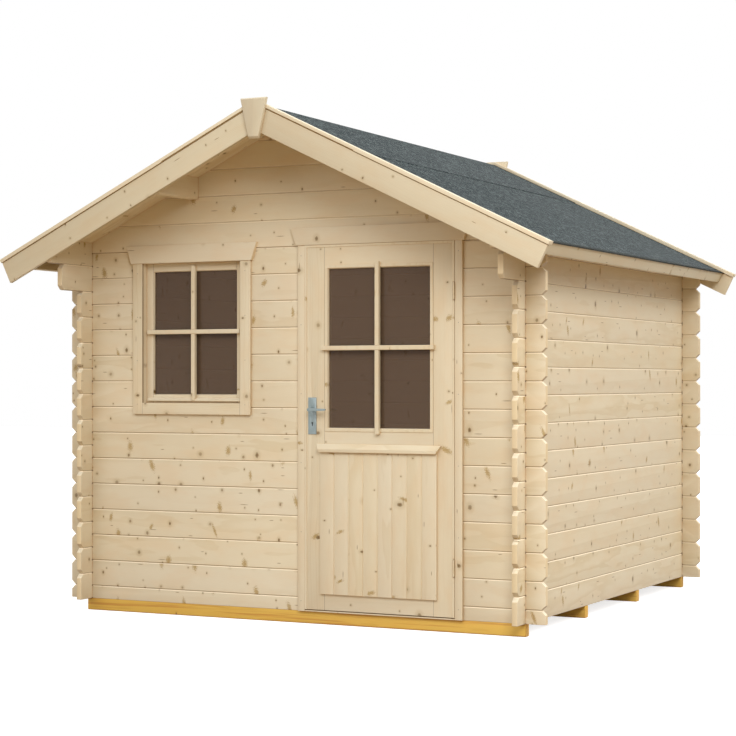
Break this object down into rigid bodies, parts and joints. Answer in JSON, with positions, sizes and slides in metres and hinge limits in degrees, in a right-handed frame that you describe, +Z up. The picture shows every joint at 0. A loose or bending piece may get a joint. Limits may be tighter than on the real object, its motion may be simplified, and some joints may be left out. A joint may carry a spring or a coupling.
{
  "type": "log cabin garden house",
  "caption": "Small log garden house with interlocked corners, a gabled felt roof, a casement window and a half-glazed door that swings outward.",
  "frame": {"origin": "middle of the house's outline on the ground, at the underside of the skids", "axes": "+X to the right as one faces the door, +Y from the front gable to the back gable, +Z up"},
  "size_m": [2.9314, 2.946, 2.4825],
  "materials": {
    "log_wood": "natural spruce, planed and untreated",
    "board_wood": "natural spruce board, planed and untreated",
    "skid_wood": "impregnated spruce, yellow brown",
    "felt": "bitumen felt with slate grey grit",
    "glass": "clear",
    "handle_metal": "satin grey blue",
    "hinge_metal": "zinc plated"
  },
  "bodies": {
    "house": {"skids": "skid_wood", "floor": "board_wood", "front_wall_left": "log_wood", "front_wall_right": "log_wood", "front_gable": "log_wood", "back_wall": "log_wood", "back_gable": "log_wood", "left_wall": "log_wood", "right_wall": "log_wood", "purlins": "log_wood", "roof_boards_left": "board_wood", "roof_boards_right": "board_wood", "roofing_felt": "felt", "barge_front_left": "board_wood", "barge_front_right": "board_wood", "barge_back_left": "board_wood", "barge_back_right": "board_wood", "front_cover_strip": "board_wood", "back_cover_strip": "board_wood", "front_keystone": "board_wood", "back_keystone": "board_wood", "fascias": "board_wood", "door_jamb_left": "board_wood", "door_jamb_right": "board_wood", "door_frame_head": "board_wood", "door_sill": "board_wood", "door_casings": "board_wood", "door_header": "board_wood", "hinge_pins": "hinge_metal", "window_frame": "board_wood", "window_casing": "board_wood", "window_header": "board_wood", "window_sash": "board_wood", "window_glass": "glass", "window_drip_bar": "board_wood"},
    "door": {"door_leaf": "board_wood", "door_glass": "glass", "door_panel": "board_wood", "door_weather_bar": "board_wood", "handle_plates": "handle_metal", "hinge_knuckles": "hinge_metal"},
    "handle": {"door_handle": "handle_metal"}
  },
  "joints": [
    {"name": "door_hinge", "type": "hinge", "parent": "house", "child": "door", "pos_m": [0.8505, -1.0965, 0.071], "axis": [0, 0, 1], "range_deg": [0, 105]},
    {"name": "handle_turn", "type": "hinge", "parent": "door", "child": "handle", "pos_m": [0.109, -1.091, 1.029], "axis": [0, 1, 0], "range_deg": [0, 40], "stiffness_Nm_per_rad": 1, "springref_deg": -34.38}
  ]
}
